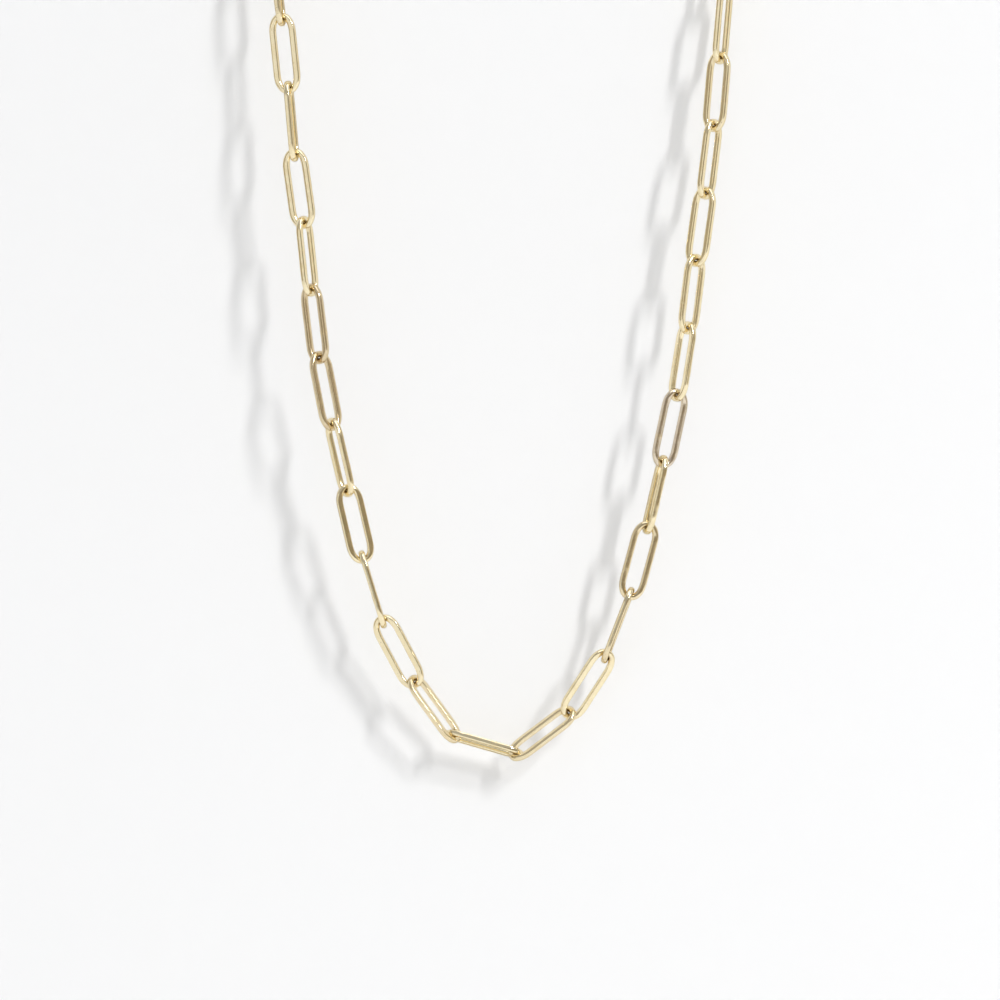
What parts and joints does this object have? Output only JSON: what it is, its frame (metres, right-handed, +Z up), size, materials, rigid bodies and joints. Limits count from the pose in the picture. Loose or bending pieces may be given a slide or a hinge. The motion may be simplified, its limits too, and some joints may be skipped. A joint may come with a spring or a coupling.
{
  "type": "paperclip chain necklace",
  "caption": "Paperclip chain necklace of long oval wire links that hold each other, closed at the back by a plain lobster claw clasp between jump rings.",
  "frame": {"origin": "inner face of the clasp at its middle, at the top of the hanging loop, where the necklace lies on what it hangs on", "axes": "+Z up, +X to the right as seen from the front, and the front of the chain towards -Y"},
  "size_m": [0.0809, 0.006, 0.1937],
  "materials": {
    "link_gold": "polished",
    "ring_gold": "polished",
    "clasp_gold": "polished"
  },
  "bodies": {
    "root": {"clasp": "clasp_gold", "jump_ring_left": "ring_gold", "link_01": "link_gold", "link_02": "link_gold", "link_03": "link_gold", "link_04": "link_gold", "link_05": "link_gold", "link_06": "link_gold", "link_07": "link_gold", "link_08": "link_gold", "link_09": "link_gold", "link_10": "link_gold", "link_11": "link_gold", "link_12": "link_gold", "link_13": "link_gold", "link_14": "link_gold", "link_15": "link_gold", "link_16": "link_gold", "link_17": "link_gold", "link_18": "link_gold", "link_19": "link_gold", "link_20": "link_gold", "link_21": "link_gold", "link_22": "link_gold", "link_23": "link_gold", "link_24": "link_gold", "link_25": "link_gold", "link_26": "link_gold", "link_27": "link_gold", "link_28": "link_gold", "link_29": "link_gold", "link_30": "link_gold", "link_31": "link_gold", "link_32": "link_gold", "link_33": "link_gold", "link_34": "link_gold", "link_35": "link_gold", "link_36": "link_gold", "link_37": "link_gold", "link_38": "link_gold", "link_39": "link_gold", "link_40": "link_gold", "jump_ring_right": "ring_gold"}
  },
  "joints": []
}
